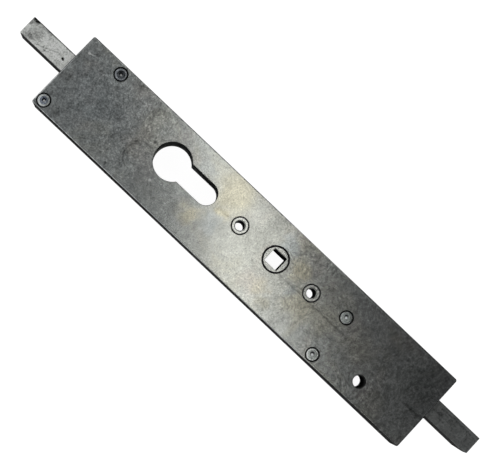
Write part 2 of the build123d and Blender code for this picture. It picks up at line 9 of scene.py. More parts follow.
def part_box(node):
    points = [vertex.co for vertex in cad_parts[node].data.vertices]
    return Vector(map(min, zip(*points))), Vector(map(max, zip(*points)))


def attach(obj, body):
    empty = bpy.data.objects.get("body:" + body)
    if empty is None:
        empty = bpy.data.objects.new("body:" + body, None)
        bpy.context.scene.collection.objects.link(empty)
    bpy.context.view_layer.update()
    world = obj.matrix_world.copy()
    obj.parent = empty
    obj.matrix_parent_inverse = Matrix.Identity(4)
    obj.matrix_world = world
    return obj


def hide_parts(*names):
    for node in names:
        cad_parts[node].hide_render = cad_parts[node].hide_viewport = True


bl_info = {
    "name": "Bi-fold door lock",
    "version": (1, 0, 0),
    "blender": (4, 5, 0),
    "location": "3D View > Sidebar > Door Lock",
    "description": "Finishes a two-way bolt lock for folding doors and lights it in a studio",
    "category": "Object",
}

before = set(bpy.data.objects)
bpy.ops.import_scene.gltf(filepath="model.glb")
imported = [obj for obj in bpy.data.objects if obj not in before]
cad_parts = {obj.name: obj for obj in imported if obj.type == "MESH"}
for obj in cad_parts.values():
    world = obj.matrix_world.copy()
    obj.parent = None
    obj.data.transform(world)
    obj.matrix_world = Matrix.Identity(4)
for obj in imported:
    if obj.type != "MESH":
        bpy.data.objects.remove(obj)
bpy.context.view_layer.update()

MM = 0.001


# Sizes and colours that a user would change

COLOUR = {"subtype": "COLOR", "size": 3, "min": 0, "max": 1}
SHARE = {"subtype": "FACTOR", "min": 0, "max": 1}


class LockCaseFinish(bpy.types.PropertyGroup):
    """Tumbled and passivated metal of the case."""

    metal: FloatVectorProperty(
        name="Metal", description="Colour of the bare, tumbled metal",
        default=(0.64, 0.67, 0.67), **COLOUR)
    dull: FloatVectorProperty(
        name="Dull patches", description="Colour where the passivation has greyed the metal",
        default=(0.50, 0.52, 0.53), **COLOUR)
    straw: FloatVectorProperty(
        name="Straw tint", description="Colour of the yellow-brown passivation patches",
        default=(0.72, 0.69, 0.56), **COLOUR)
    blue: FloatVectorProperty(
        name="Blue tint", description="Colour of the cool, bluish patches",
        default=(0.55, 0.61, 0.65), **COLOUR)
    # A darker colour: painted shade towards the foot, and a small darker patch at the top end
    dim: FloatVectorProperty(
        name="Dim patches", description="Colour of the greyest metal, near the foot",
        default=(0.36, 0.375, 0.38), **COLOUR)
    rose: FloatVectorProperty(
        name="Rose tint", description="Colour of the faint pinkish patches",
        default=(0.66, 0.60, 0.58), **COLOUR)
    # Dark colour of the sides and holes: partly dark scale, partly painted shade
    skin: FloatVectorProperty(
        name="Side skin", description="Colour of the dark skin on the sides and in the holes",
        default=(0.045, 0.046, 0.045), **COLOUR)
    scuff: FloatVectorProperty(
        name="Scuffs", description="Colour of the light flecks and rubbed lines",
        default=(0.50, 0.51, 0.50), **COLOUR)
    roughness: FloatProperty(
        name="Roughness", description="Roughness of the tumbled faces",
        default=0.19, **SHARE)
    relief: FloatProperty(
        name="Relief", description="Depth of the pits and grain",
        unit="LENGTH", min=0, max=0.0005, precision=6, default=0.000008)


class LockBoltFinish(bpy.types.PropertyGroup):
    """Drawn steel of the bolts."""

    upper: FloatVectorProperty(
        name="Upper bolt", description="Colour of the upper bolt's bright drawn steel",
        default=(0.86, 0.88, 0.855), **COLOUR)
    # A darker copy of the upper bolt's steel: painted shade for the dim lower end
    lower: FloatVectorProperty(
        name="Lower bolt", description="Colour of the lower bolt's dull drawn steel",
        default=(0.25, 0.26, 0.26), **COLOUR)
    roughness: FloatProperty(
        name="Roughness", description="Roughness of the upper bolt's drawn faces",
        default=0.50, **SHARE)
    polish: FloatProperty(
        name="Lower bolt's polish", description="How much smoother the lower bolt is",
        subtype="FACTOR", min=0, max=0.3, default=0.18)


class LockHubFinish(bpy.types.PropertyGroup):
    """Turned steel of the hub."""

    metal: FloatVectorProperty(
        name="Metal", description="Colour of the turned steel",
        default=(0.90, 0.92, 0.90), **COLOUR)
    roughness: FloatProperty(
        name="Roughness", description="Roughness of the turned faces",
        default=0.21, **SHARE)


class LockBush(bpy.types.PropertyGroup):
    """Handle bushes and the thread in them."""

    metal: FloatVectorProperty(
        name="Metal", description="Colour of the bushes' turned steel",
        default=(0.88, 0.90, 0.88), **COLOUR)
    root: FloatProperty(
        name="Root diameter", description="Diameter at the root of the internal thread",
        unit="LENGTH", min=0.002, max=0.01, precision=5, default=0.005)
    crest: FloatProperty(
        name="Crest diameter", description="Diameter at the crest of the internal thread",
        unit="LENGTH", min=0.002, max=0.01, precision=5, default=0.0042)
    pitch: FloatProperty(
        name="Pitch", description="Distance from one turn of the thread to the next",
        unit="LENGTH", min=0.0003, max=0.002, precision=5, default=0.0008)
    around: IntProperty(
        name="Steps around", description="Facets in one turn", min=12, max=96, default=48)


class LockInsideFinish(bpy.types.PropertyGroup):
    """Inner pieces: rack bars, slide, springs and rivets."""

    bar: FloatVectorProperty(
        name="Rack bars", description="Colour of the blanked steel bars",
        default=(0.42, 0.43, 0.43), **COLOUR)
    slide: FloatVectorProperty(
        name="Slide", description="Colour of the deadlock slide",
        default=(0.62, 0.58, 0.46), **COLOUR)
    spring: FloatVectorProperty(
        name="Springs", description="Colour of the blued spring steel",
        default=(0.20, 0.25, 0.36), **COLOUR)


class LockFastenerFinish(bpy.types.PropertyGroup):
    """Screws and rivets."""

    screw: FloatVectorProperty(
        name="Screws", description="Colour of the oiled, bluish screws",
        default=(0.56, 0.62, 0.74), **COLOUR)
    dark: FloatVectorProperty(
        name="Dark screw", description="Colour of the darker screw's oxide",
        default=(0.24, 0.26, 0.29), **COLOUR)
    rim: FloatVectorProperty(
        name="Rims", description="Colour of the rubbed rims of the heads",
        default=(0.86, 0.91, 0.91), **COLOUR)
    rivet: FloatVectorProperty(
        name="Rivets", description="Colour of the turned rivet heads",
        default=(0.72, 0.77, 0.75), **COLOUR)
    # Colour of the painted highlights: the glint in each dimple and the light ring round a socket
    glint: FloatVectorProperty(
        name="Glint", description="Colour of the polished dot in each head's dimple",
        default=(0.95, 0.97, 0.98), **COLOUR)
    socket_across: FloatProperty(
        name="Socket width", description="Width across the flats of the screws' sockets",
        unit="LENGTH", min=0.001, max=0.01, precision=5, default=0.003)
    socket_depth: FloatProperty(
        name="Socket depth", description="Depth of the screws' sockets",
        unit="LENGTH", min=0.0002, max=0.01, precision=5, default=0.0017)
    dimple: FloatProperty(
        name="Dimple diameter", description="Diameter of the rivets' centre dimples",
        unit="LENGTH", min=0.0002, max=0.005, precision=5, default=0.0015)
    ring_pitch: FloatProperty(
        name="Ring pitch", description="Distance between the turning marks on the heads",
        unit="LENGTH", min=0.00005, max=0.001, precision=5, default=0.00035)


class LockStage(bpy.types.PropertyGroup):
    """Floor, lamps and camera."""

    floor: FloatVectorProperty(
        name="Floor", description="Colour of the studio floor",
        default=(0.90, 0.90, 0.90), **COLOUR)
    room: FloatProperty(
        name="Room light", description="Brightness of the room around the lock",
        min=0, max=2, default=0.022)
    window_power: FloatProperty(
        name="Window power", description="Power of the slim soft box over the lock",
        unit="POWER", min=0, max=500, default=0.205)
    fill_power: FloatProperty(
        name="Fill power", description="Power of the faint panel above the cylinder end",
        unit="POWER", min=0, max=500, default=0.135)
    side_power: FloatProperty(
        name="Side panel power", description="Power of each of the four large side panels",
        unit="POWER", min=0, max=500, default=4.5)


# How coarse the case's grain is along its length, in millimetres from the spindle's axis
GRAIN_COURSE = [(-78, 1.15), (-45, 0.85), (-5, 1.3), (35, 0.85), (60, 1), (90, 1.7)]

# Centre and radius of the smooth patch beside the keyhole's slot, and how far its grain is calmed
CALM_PATCH = ((-15, 48), 26)
CALM_SHARE = 0.33

# Marks on the front, in millimetres from the spindle's axis
CASE_ZONES = [
    ((-3, 98), 10, "dim", 0.35),
    ((-3, 104), 22, "blue", 0.35),
    ((-4, 84), 22, "dull", 0.1),
    ((-14, 62), 14, "dull", 0.35),
    ((-4, 5), 50, "straw", 0.22),
    ((9, 33), 15, "straw", 0.85),
    ((-11.5, 40.5), 8, "straw", 0.8),
    ((-1.9, 30.3), 4.5, "straw", 0.9),
    ((-9.6, 32), 6, "blue", 0.45),
    ((-15, 0), 9, "rose", 0.4),
    ((-14, -2), 6, "straw", 0.5),
    ((-8, -21), 11, "straw", 0.6),
    ((-18.5, -9.4), 5, "straw", 0.4),
    ((8, -1), 8, "blue", 0.7),
    ((8, -13), 9, "dull", 0.4),
    ((4, -11), 7, "straw", 0.8),
    ((-6, -14), 4, "blue", 0.5),
    # Painted shade: darker towards the foot
    ((4, -98), 55, "dim", 0.48),
    ((-4, -34), 12, "straw", 0.45),
    ((-4, -54), 10, "straw", 0.35),
]
CASE_MARKS = [
    ("line", (-3.7, -4.5), (-3.5, -48), 0.7, -0.30),
    ("streak", (-0.7, 33), (-0.6, 27), 1.3, -0.28),
    ("streak", (-6.8, -83.5), (-7, -94.5), 1.2, -0.5),
    ("dot", (11.4, 117.6), 1.3, -0.5),
    ("arc", (-9.5, 74.9), 6.1, 0.7, (-0.2, 1), -0.42),
    ("arc", (-9.8, 74), 8, 0.6, (0.3, 1), -0.36),
    ("arc", (-9, 75.5), 4, 0.6, (-1, 0.6), -0.30),
    ("blob", (-10.9, 79.7), 2.6, -0.45),
    ("dot", (1.1, 73.4), 1, -0.8),
    ("dot", (-20.6, 82.9), 1.1, -0.8),
    ("blob", (9.5, 3), 10, 0.34),
    ("blob", (-21, -23), 5, 0.22),
    ("blob", (-18.5, -9.4), 5, -0.2),
    ("blob", (10, 18), 8, 0.18),
    ("blob", (-2, 30.5), 3.5, 0.2),
    ("blob", (-10.5, 41), 6, 0.14),
    # Painted shade: darker towards the foot
    ("blob", (5, -87), 14, -0.22),
]
CASE_SCUFFS = [
    ("dot", (9.4, 120.9), 0.9, 0.8),
    ("line", (9.2, 121.4), (9.9, 118.9), 0.6, 0.7),
    ("line", (9.9, 118.9), (10.4, 117), 0.5, 0.3),
    ("dot", (-12.7, 63.7), 1, 0.9),
    ("arc", (-9.6, 74.5), 7, 0.5, (0.3, 1), 0.10),
    ("line", (-2.9, -6.5), (-2.7, -46), 0.5, 0.17),
    ("line", (-10.2, 116.5), (-8.6, 112), 0.4, 0.12),
    ("line", (3.5, 95), (5.6, 90.5), 0.4, 0.12),
    ("dot", (-16.2, 101), 0.6, 0.25),
    ("dot", (7.3, 88.2), 0.6, 0.25),
    ("dot", (-5.6, 92.3), 0.6, 0.2),
    ("dot", (5.3, -66.2), 0.6, 0.25),
    ("dot", (-16.1, -70.4), 0.6, 0.2),
]
UPPER_BOLT_MARKS = [
    ("blob", (0.1, 143.8), 5, -0.22),
    ("ring", (0.1, 143.8), 4.3, 0.4, 0.20),
    ("blob", (-3.2, 145.5), 2.6, -0.35),
    ("patch", (5.3, 150), 5.2, -0.55),
    ("patch", (0.1, 143.8), 4.3, -0.16),
    ("ring", (-1.5, 136.2), 1.6, 0.5, -0.40),
    ("ring", (-2.6, 138.4), 2.2, 0.5, -0.30),
    ("line", (-3.6, 141), (0.6, 130.5), 0.5, -0.25),
    ("line", (4.6, 149), (4.6, 139), 1.7, -0.7),
    ("line", (4.9, 139), (4.9, 125), 1, -0.5),
    ("blob", (-4, 147.5), 2.4, -0.35),
    ("blob", (-3.4, 135), 3, 0.22),
    ("blob", (-3.4, 128.8), 2.8, -0.22),
    ("blob", (2.4, 129), 2.6, -0.24),
    ("line", (2.2, 134), (1.4, 127), 0.5, 0.2),
    ("dot", (-0.1, 128.1), 1, -1.2),
]
UPPER_BOLT_SCUFFS = [
    ("ring", (0.1, 143.8), 4.2, 0.5, 0.5),
    ("dot", (-1.2, 128.3), 0.8, 0.6),
    ("blob", (-1.6, 138.6), 1.8, 0.15),
]
LOWER_BOLT_MARKS = [
    ("streak", (-0.6, -94.5), (0.9, -100.5), 1.6, -0.45),
    ("blob", (-2.6, -98.5), 3.2, 0.30),
    ("line", (3.2, -100), (3.4, -116), 0.8, -0.25),
]


# Short calls that build node trees

class Graph:
    """A node tree that is written by short calls, with positions in millimetres."""

    def __init__(self, tree):
        self.tree = tree
        tree.nodes.clear()

    def add(self, kind, inputs=None, **settings):
        node = self.tree.nodes.new(kind)
        for key, value in settings.items():
            setattr(node, key, value)
        for socket, value in (inputs or {}).items():
            if isinstance(value, bpy.types.NodeSocket):
                self.tree.links.new(value, node.inputs[socket])
            else:
                node.inputs[socket].default_value = value
        return node

    def out(self, kind, inputs=None, **settings):
        """The first output of a new node."""
        return self.add(kind, inputs, **settings).outputs[0]

    def math(self, operation, a, b=0.0, clamp=False):
        return self.out("ShaderNodeMath", {0: a, 1: b}, operation=operation, use_clamp=clamp)

    def plus(self, a, b, clamp=False):
        return self.math("ADD", a, b, clamp)

    def minus(self, a, b, clamp=False):
        return self.math("SUBTRACT", a, b, clamp)

    def times(self, a, b):
        return self.math("MULTIPLY", a, b)

    def larger(self, a, b, clamp=False):
        return self.math("MAXIMUM", a, b, clamp)

    def absolute(self, value):
        return self.math("ABSOLUTE", value)

    def vector(self, operation, a, b=(0, 0, 0), output=0):
        return self.add("ShaderNodeVectorMath", {0: a, 1: b},
                        operation=operation).outputs[output]

    def combine(self, x=0.0, y=0.0, z=0.0):
        return self.out("ShaderNodeCombineXYZ", {0: x, 1: y, 2: z})

    def parts(self, where):
        return self.add("ShaderNodeSeparateXYZ", {0: where}).outputs

    def total(self, *terms):
        """The sum of (value - middle) * weight over its terms."""
        result = 0.0
        for value, weight, middle in terms:
            term = self.out("ShaderNodeMath", {0: value, 1: weight, 2: -middle * weight},
                            operation="MULTIPLY_ADD")
            result = self.plus(result, term)
        return result

    def mix(self, share, a, b, blend="MIX"):
        a, b = [c if isinstance(c, bpy.types.NodeSocket) else (*c, 1.0) for c in (a, b)]
        return self.add("ShaderNodeMix", {0: share, 6: a, 7: b},
                        data_type="RGBA", blend_type=blend).outputs[2]

    def shaded(self, colour, shade):
        """A colour made lighter or darker by a share of itself."""
        level = self.plus(shade, 1.0)
        grey = self.out("ShaderNodeCombineColor", {0: level, 1: level, 2: level})
        return self.mix(1.0, colour, grey, "MULTIPLY")

    def either(self, second, a, b):
        """The number a, or b where second is 1."""
        return self.out("ShaderNodeMix", {0: second, 2: a, 3: b}, data_type="FLOAT")

    def span(self, value, low, high, start=0.0, end=1.0):
        return self.out("ShaderNodeMapRange", {0: value, 1: low, 2: high, 3: start, 4: end},
                        interpolation_type="SMOOTHSTEP")

    def uneven(self, pattern, middle, less, more):
        """A roughness about a middle value, which a pattern makes less or more."""
        return self.span(pattern, 0.3, 0.7, middle - less, middle + more)

    def course(self, value, points):
        """A smooth course through points of (value, result)."""
        result = points[0][1]
        for (low, start), (high, end) in zip(points, points[1:]):
            result = self.plus(result, self.span(value, low, high, 0.0, end - start))
        return result

    def noise(self, where, scale, detail=2.0, roughness=0.5, distortion=0.0):
        return self.out("ShaderNodeTexNoise", {
            "Vector": where, "Scale": scale, "Detail": detail, "Roughness": roughness,
            "Distortion": distortion})

    def place(self, where, scale=(1, 1, 1), shift=(0, 0, 0), turn=0.0):
        return self.out("ShaderNodeMapping", {
            "Vector": where, "Location": shift, "Rotation": (0, 0, turn), "Scale": scale})

    def position(self):
        """Object coordinates in millimetres."""
        return self.place(self.add("ShaderNodeTexCoord").outputs["Object"], (1000, 1000, 1000))

    def drift(self, where, scale, reach):
        """Positions moved about by noise, up to half a reach each way."""
        noise = self.add("ShaderNodeTexNoise", {"Vector": where, "Scale": scale, "Detail": 3.0})
        offset = self.vector("SUBTRACT", noise.outputs[1], (0.5, 0.5, 0.5))
        offset = self.out("ShaderNodeVectorMath", {0: offset, "Scale": reach}, operation="SCALE")
        return self.vector("ADD", where, offset)

    def streak(self, where, start, end, width):
        """1 on a thin line from start to end, 0 a width away from it."""
        along = Vector(end) - Vector(start)
        half = along.length / 2
        turn = -math.atan2(along.y, along.x)
        c, s = math.cos(turn), math.sin(turn)
        shift = (-(c * start[0] - s * start[1]), -(s * start[0] + c * start[1]), 0)
        x, y, _ = self.parts(self.place(where, (1, 1, 1), shift, turn))
        ends = self.span(self.absolute(self.minus(x, half)), half + width, half - width)
        return self.times(self.span(self.absolute(y), width, 0.0), ends)

    def distance(self, where, centre):
        """How far a position is from an upright axis."""
        offset = self.vector("SUBTRACT", where, (*centre, 0))
        return self.vector("LENGTH", self.vector("MULTIPLY", offset, (1, 1, 0)), output=1)

    def disc(self, where, centre, radius, edge):
        """1 inside a round patch, 0 outside it, with an edge of a given width."""
        return self.span(self.distance(where, centre), radius, radius - edge)

    def blob(self, where, centre, radius):
        """A round patch that fades out from near its middle."""
        return self.disc(where, centre, radius, 0.85 * radius)

    def ring(self, where, centre, radius, width):
        """A soft circle line."""
        away = self.absolute(self.minus(self.distance(where, centre), radius))
        return self.span(away, width, 0.0)

    def side_of(self, where, centre, radius, way):
        """1 on the side of a circle that a direction points to, 0 on its far side."""
        offset = self.vector("SUBTRACT", where, (*centre, 0))
        facing = self.vector("DOT_PRODUCT", offset, (*way, 0), output=1)
        return self.span(facing, -0.1 * radius, 0.7 * radius)

    def marks(self, where, table):
        """The sum of a table's marks: (kind, place, size, strength), darker below 0."""
        loose = self.drift(where, 0.4, 0.7)
        slack = self.drift(where, 0.12, 0.8)
        broken = self.span(self.noise(where, 0.35, 2.0), 0.35, 0.5)
        kinds = {
            "line": lambda *sizes: self.streak(slack, *sizes),
            "streak": lambda *sizes: self.streak(loose, *sizes),
            "blob": lambda *sizes: self.blob(loose, *sizes),
            "dot": lambda *sizes: self.blob(where, *sizes),
            "patch": lambda centre, radius: self.disc(where, centre, radius, 0.35 * radius),
            # A dark disc round a counterbore: painted shade that widens the gap round a head
            "gap_shade": lambda *sizes: self.disc(where, *sizes, 0.12),
            "ring": lambda *sizes: self.times(self.ring(slack, *sizes), broken),
            "arc": lambda centre, radius, width, way: self.times(
                self.ring(slack, centre, radius, width),
                self.side_of(where, centre, radius, way)),
        }
        result = 0.0
        for kind, *sizes, strength in table:
            result = self.plus(result, self.times(kinds[kind](*sizes), strength))
        return result

    def spots(self, where, scale, size, share):
        """Scattered dots: size is a share of the cells' spacing, share the part that has one."""
        cells = self.add("ShaderNodeTexVoronoi", {"Vector": where, "Scale": scale}).outputs
        chosen = self.math("GREATER_THAN", self.parts(cells["Color"])[0], 1 - share)
        return self.times(self.span(cells["Distance"], size, size * 0.4), chosen)

    def finish(self, colour, roughness, metallic, height, depth):
        bump = self.out("ShaderNodeBump", {"Strength": 1.0, "Distance": depth, "Height": height})
        surface = self.out("ShaderNodeBsdfPrincipled", {
            "Base Color": colour, "Roughness": roughness, "Metallic": metallic,
            "Specular IOR Level": 0.0, "Normal": bump})
        self.add("ShaderNodeOutputMaterial", {0: surface})


def new_graph(name):
    material = bpy.data.materials.new(name)
    material.use_nodes = True
    return material, Graph(material.node_tree)


# Dark masks, called with (graph, x, y, z): 1 on a piece's dark sides and in its holes

def faces_of(node):
    """The heights of a CAD node's rear and front faces, in millimetres."""
    low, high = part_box(node)
    return low.z / MM, high.z / MM


def centre_of(node):
    """The middle of a CAD node seen from the front, in millimetres."""
    low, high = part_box(node)
    return ((low.x + high.x) / 2 / MM, (low.y + high.y) / 2 / MM)


def from_middle(g, z, low, high):
    """How far a height is from the middle between two faces, and how far the faces are from it."""
    return g.absolute(g.minus(z, (low + high) / 2)), (high - low) / 2


def no_sides(g, x, y, z):
    return 0.0


def between_faces(low, high, band=0.1):
    """For a piece whose front and rear faces, at two heights, are bright."""
    def mask(g, x, y, z):
        away, half = from_middle(g, z, low, high)
        return g.span(away, half - 0.005, half - 0.005 - band)
    return mask


# The case's edge bevels are painted dark, as shade, except in one stretch. In millimetres: the
# middle of that stretch, how far down a side it reaches, and how much less that is near the foot
EDGE_LIGHT_MIDDLE = 15.0
EDGE_LIGHT_REACH = 0.085
LESS_AT_FOOT = 0.022


def shaded_edges(low, high):
    """For the case, whose edge bevels are painted dark as shade, save for some way past the
    spindle.
    """
    def mask(g, x, y, z):
        away, half = from_middle(g, z, low, high)
        # rubbed is the stretch where the edge keeps its highlight; elsewhere it is painted dark,
        # as shade
        rubbed = g.span(g.absolute(g.minus(y, EDGE_LIGHT_MIDDLE)), 60.0, 20.0)
        left = g.times(g.span(x, 0.0, -8.0), g.span(y, -58.0, -28.0))
        rubbed = g.larger(g.times(rubbed, g.span(x, 8.0, 0.0, 0.3, 1.0)), g.times(left, 0.9))
        reach = g.minus(g.times(rubbed, EDGE_LIGHT_REACH), g.span(y, -20.0, -50.0, 0.0, LESS_AT_FOOT))
        dark = g.span(g.plus(away, reach), half - 0.005, half - 0.035)
        return g.times(dark, g.span(away, half - 0.001, half - 0.004))
    return mask


def socket_walls(top, floor):
    """For a screw, whose sides and socket walls are dark, but not the socket's floor."""
    def mask(g, x, y, z):
        return g.times(g.span(z, top - 0.4, top - 0.6), g.span(z, floor + 0.05, floor + 0.3))
    return mask


def bore_and_wall(low, high, bore, outside, axis):
    """For a bush, whose bore and outer wall are dark, but not its chamfers."""
    def mask(g, x, y, z):
        r = g.distance(g.combine(x, g.absolute(y)), axis)
        away, half = from_middle(g, z, low, high)
        deep = g.span(away, half - 0.02, half - 0.2)
        outer = g.larger(g.times(deep, g.span(r, outside - 0.5, outside - 0.4)),
                         g.span(r, outside - 0.27, outside - 0.13))
        return g.larger(outer, g.span(r, bore + 0.03, bore - 0.03))
    return mask


# Finishes

SKIN_ROUGHNESS = 0.55
WALL_ROUGHNESS = 0.5
# Dark colour of the bolts' sides: painted shade
BOLT_SIDE = (0.05, 0.05, 0.05)
BOLT_SCUFF = (0.65, 0.66, 0.65)
BOLT_RELIEF = 0.00004
# Dark colour of the turned pieces' sides, bores and socket walls: painted shade
TURNED_SIDE = (0.03, 0.03, 0.032)
TURNED_RELIEF = 0.000006
BUSH_RELIEF = 0.000002
DIMPLE_SHADOW = (0.02, 0.022, 0.025)
SOCKET_RING = 2.3

# The photograph's right and up, as directions on the lock's front
# They place the painted light and the painted shadow on the heads.
IMAGE_RIGHT = Vector((0.683, -0.726))
IMAGE_UP = Vector((0.723, 0.688))


def shade_of(colour, share):
    return tuple(share * c for c in colour)


def tumbled_metal(name, finish, sides, marks=(), scuffs=(), zones=(), tint=1.0):
    """Blotchy, tumbled metal, with dark scale and painted shade on its sides and in its holes."""
    material, g = new_graph(name)
    at = g.position()
    x, y, z = g.parts(at)

    # Patterns, from broad clouds to fine grain
    clouds = g.noise(at, 0.055, 3.0, 0.55, 0.6)
    patches = g.noise(g.place(at, shift=(31, 17, 5)), 0.045, 3.0, 0.6, 0.9)
    rosy = g.noise(g.place(at, shift=(-12, 45, 9)), 0.07, 2.0, 0.5, 0.5)
    blotches = g.noise(at, 0.16, 5.0, 0.75)
    mottle = g.noise(g.place(at, shift=(7, 3, 1)), 0.6, 3.0, 0.8)
    grain = g.noise(g.place(at, shift=(2, 9, 4)), 1.3, 2.0, 0.8)
    hair = g.noise(g.place(at, (1.4, 0.07, 1), turn=0.5), 1.0, 3.0, 0.6)
    mill = g.noise(g.place(at, (0.05, 0.05, 2.6)), 1.0, 3.0, 0.7)
    pits = g.spots(at, 0.55, 0.24, 0.20)
    flecks = g.spots(g.place(at, shift=(3, 8, 2)), 0.30, 0.13, 0.12)

    # Tints, scattered and then in their places
    colour = finish.metal
    for pattern, low, high, share, tone in (
            (clouds, 0.42, 0.62, 0.4, finish.dull),
            (patches, 0.48, 0.70, 0.3 * tint, finish.straw),
            (rosy, 0.50, 0.72, 0.25 * tint, finish.rose)):
        colour = g.mix(g.times(g.span(pattern, low, high), share), colour, tone)
    loose = g.drift(at, 0.13, 11.0)
    for centre, radius, tone, share in zones:
        colour = g.mix(g.times(g.blob(loose, centre, radius), share), colour,
                       getattr(finish, tone))

    # Light and dark
    calm = g.minus(1.0, g.times(g.blob(at, *CALM_PATCH), CALM_SHARE))
    coarse = g.times(g.course(y, GRAIN_COURSE), calm)
    shade = g.total((mottle, 0.9, 0.5), (grain, 1.15, 0.5), (pits, -0.2, 0), (flecks, 0.12, 0))
    broad = g.times(g.total((blotches, 0.7, 0.5)), g.span(y, 70.0, 95.0, 1.0, 2.4))
    broad = g.plus(broad, g.span(hair, 0.64, 0.74, 0.0, 0.06))
    shade = g.plus(g.times(shade, coarse), broad)
    if marks:
        shade = g.plus(shade, g.marks(at, marks))
    colour = g.shaded(colour, shade)
    scuffed = g.plus(g.marks(at, scuffs), 0.0, clamp=True)
    colour = g.mix(scuffed, colour, finish.scuff)

    # Dark scale and painted shade on the sides and in the holes, gloss and relief
    side = sides(g, x, y, z)
    skin = g.mix(g.span(blotches, 0.38, 0.62), finish.skin, shade_of(finish.skin, 0.5))
    worn = g.times(g.span(clouds, 0.45, 0.65), g.span(mill, 0.48, 0.68))
    skin = g.mix(worn, skin, shade_of(finish.skin, 2.6))
    colour = g.mix(side, colour, skin)
    rough = g.plus(g.uneven(mottle, finish.roughness, 0.02, 0.03), g.times(pits, 0.03))
    rough = g.larger(rough, g.times(side, SKIN_ROUGHNESS))
    dusty = g.larger(g.larger(side, scuffed), 0.035)
    height = g.plus(g.times(blotches, 0.32), g.times(mottle, 0.2))
    height = g.plus(height, g.times(grain, 0.06))
    height = g.times(g.minus(height, g.times(pits, 0.15)), calm)
    g.finish(colour, rough, g.minus(1.0, dusty, clamp=True), height, finish.relief)
    return material


def drawn_steel(name, metal, roughness, marks, scuffs, sides):
    """Drawn bar of a bolt: faint lengthwise lines, rubs and a worn round patch."""
    material, g = new_graph(name)
    at = g.position()
    lines = g.noise(g.place(at, (1.2, 0.12, 1.2)), 1.0, 3.0, 0.7)
    blotches = g.noise(at, 0.2, 5.0, 0.85, 0.5)
    grain = g.noise(at, 1.2, 2.0, 0.8)
    pits = g.spots(at, 0.6, 0.22, 0.2)
    shade = g.total((lines, 0.6, 0.5), (blotches, 0.85, 0.5), (grain, 1.8, 0.5), (pits, -0.15, 0))
    colour = g.shaded(metal, g.plus(shade, g.marks(at, marks)))
    scuffed = g.plus(g.marks(at, scuffs), 0.0, clamp=True)
    colour = g.mix(scuffed, colour, BOLT_SCUFF)
    side = sides(g, *g.parts(at))
    colour = g.mix(side, colour, BOLT_SIDE)
    rough = g.uneven(blotches, roughness, 0.04, 0.06)
    rough = g.larger(rough, g.times(side, SKIN_ROUGHNESS))
    metallic = g.minus(1.0, g.larger(side, scuffed), clamp=True)
    height = g.plus(g.times(lines, 0.3), g.times(blotches, 0.5))
    height = g.minus(height, g.times(pits, 0.5))
    g.finish(colour, rough, metallic, height, BOLT_RELIEF)
    return material


def turned_steel(name, metal, roughness, centre, pitch, sides, relief=TURNED_RELIEF,
                 mirrored=False, socket=0.0):
    """Turned metal: rings about an upright axis, with grain and small rubs.

    A mirrored piece has its twin across the XZ plane. socket is half the width of a square hole
    on the spindle's axis, whose rim is shaded."""
    material, g = new_graph(name)
    at = g.position()
    x, y, z = g.parts(at)
    distance = g.distance(g.combine(x, g.absolute(y)) if mirrored else at, centre)
    rings = g.math("SINE", g.times(distance, 2 * math.pi / pitch))
    blotches = g.noise(at, 1.0, 4.0, 0.65, 0.4)
    grain = g.noise(at, 4.5, 2.0, 0.6)
    shade = g.plus(g.span(blotches, 0.36, 0.64, -0.38, 0.18), g.span(grain, 0.3, 0.7, -0.12, 0.12))
    if socket:
        across = g.larger(g.absolute(x), g.absolute(y))
        shade = g.plus(shade, g.span(across, socket + 0.35, socket, 0.0, -0.4))
    colour = g.shaded(metal, g.plus(shade, g.times(rings, 0.04)))
    side = sides(g, x, y, z)
    colour = g.mix(side, colour, TURNED_SIDE)
    rough = g.uneven(blotches, roughness, 0.04, 0.06)
    rough = g.larger(rough, g.times(side, WALL_ROUGHNESS))
    height = g.plus(g.times(rings, 0.4), g.times(blotches, 0.5))
    g.finish(colour, rough, g.minus(1.0, side, clamp=True), height, relief)
    return material


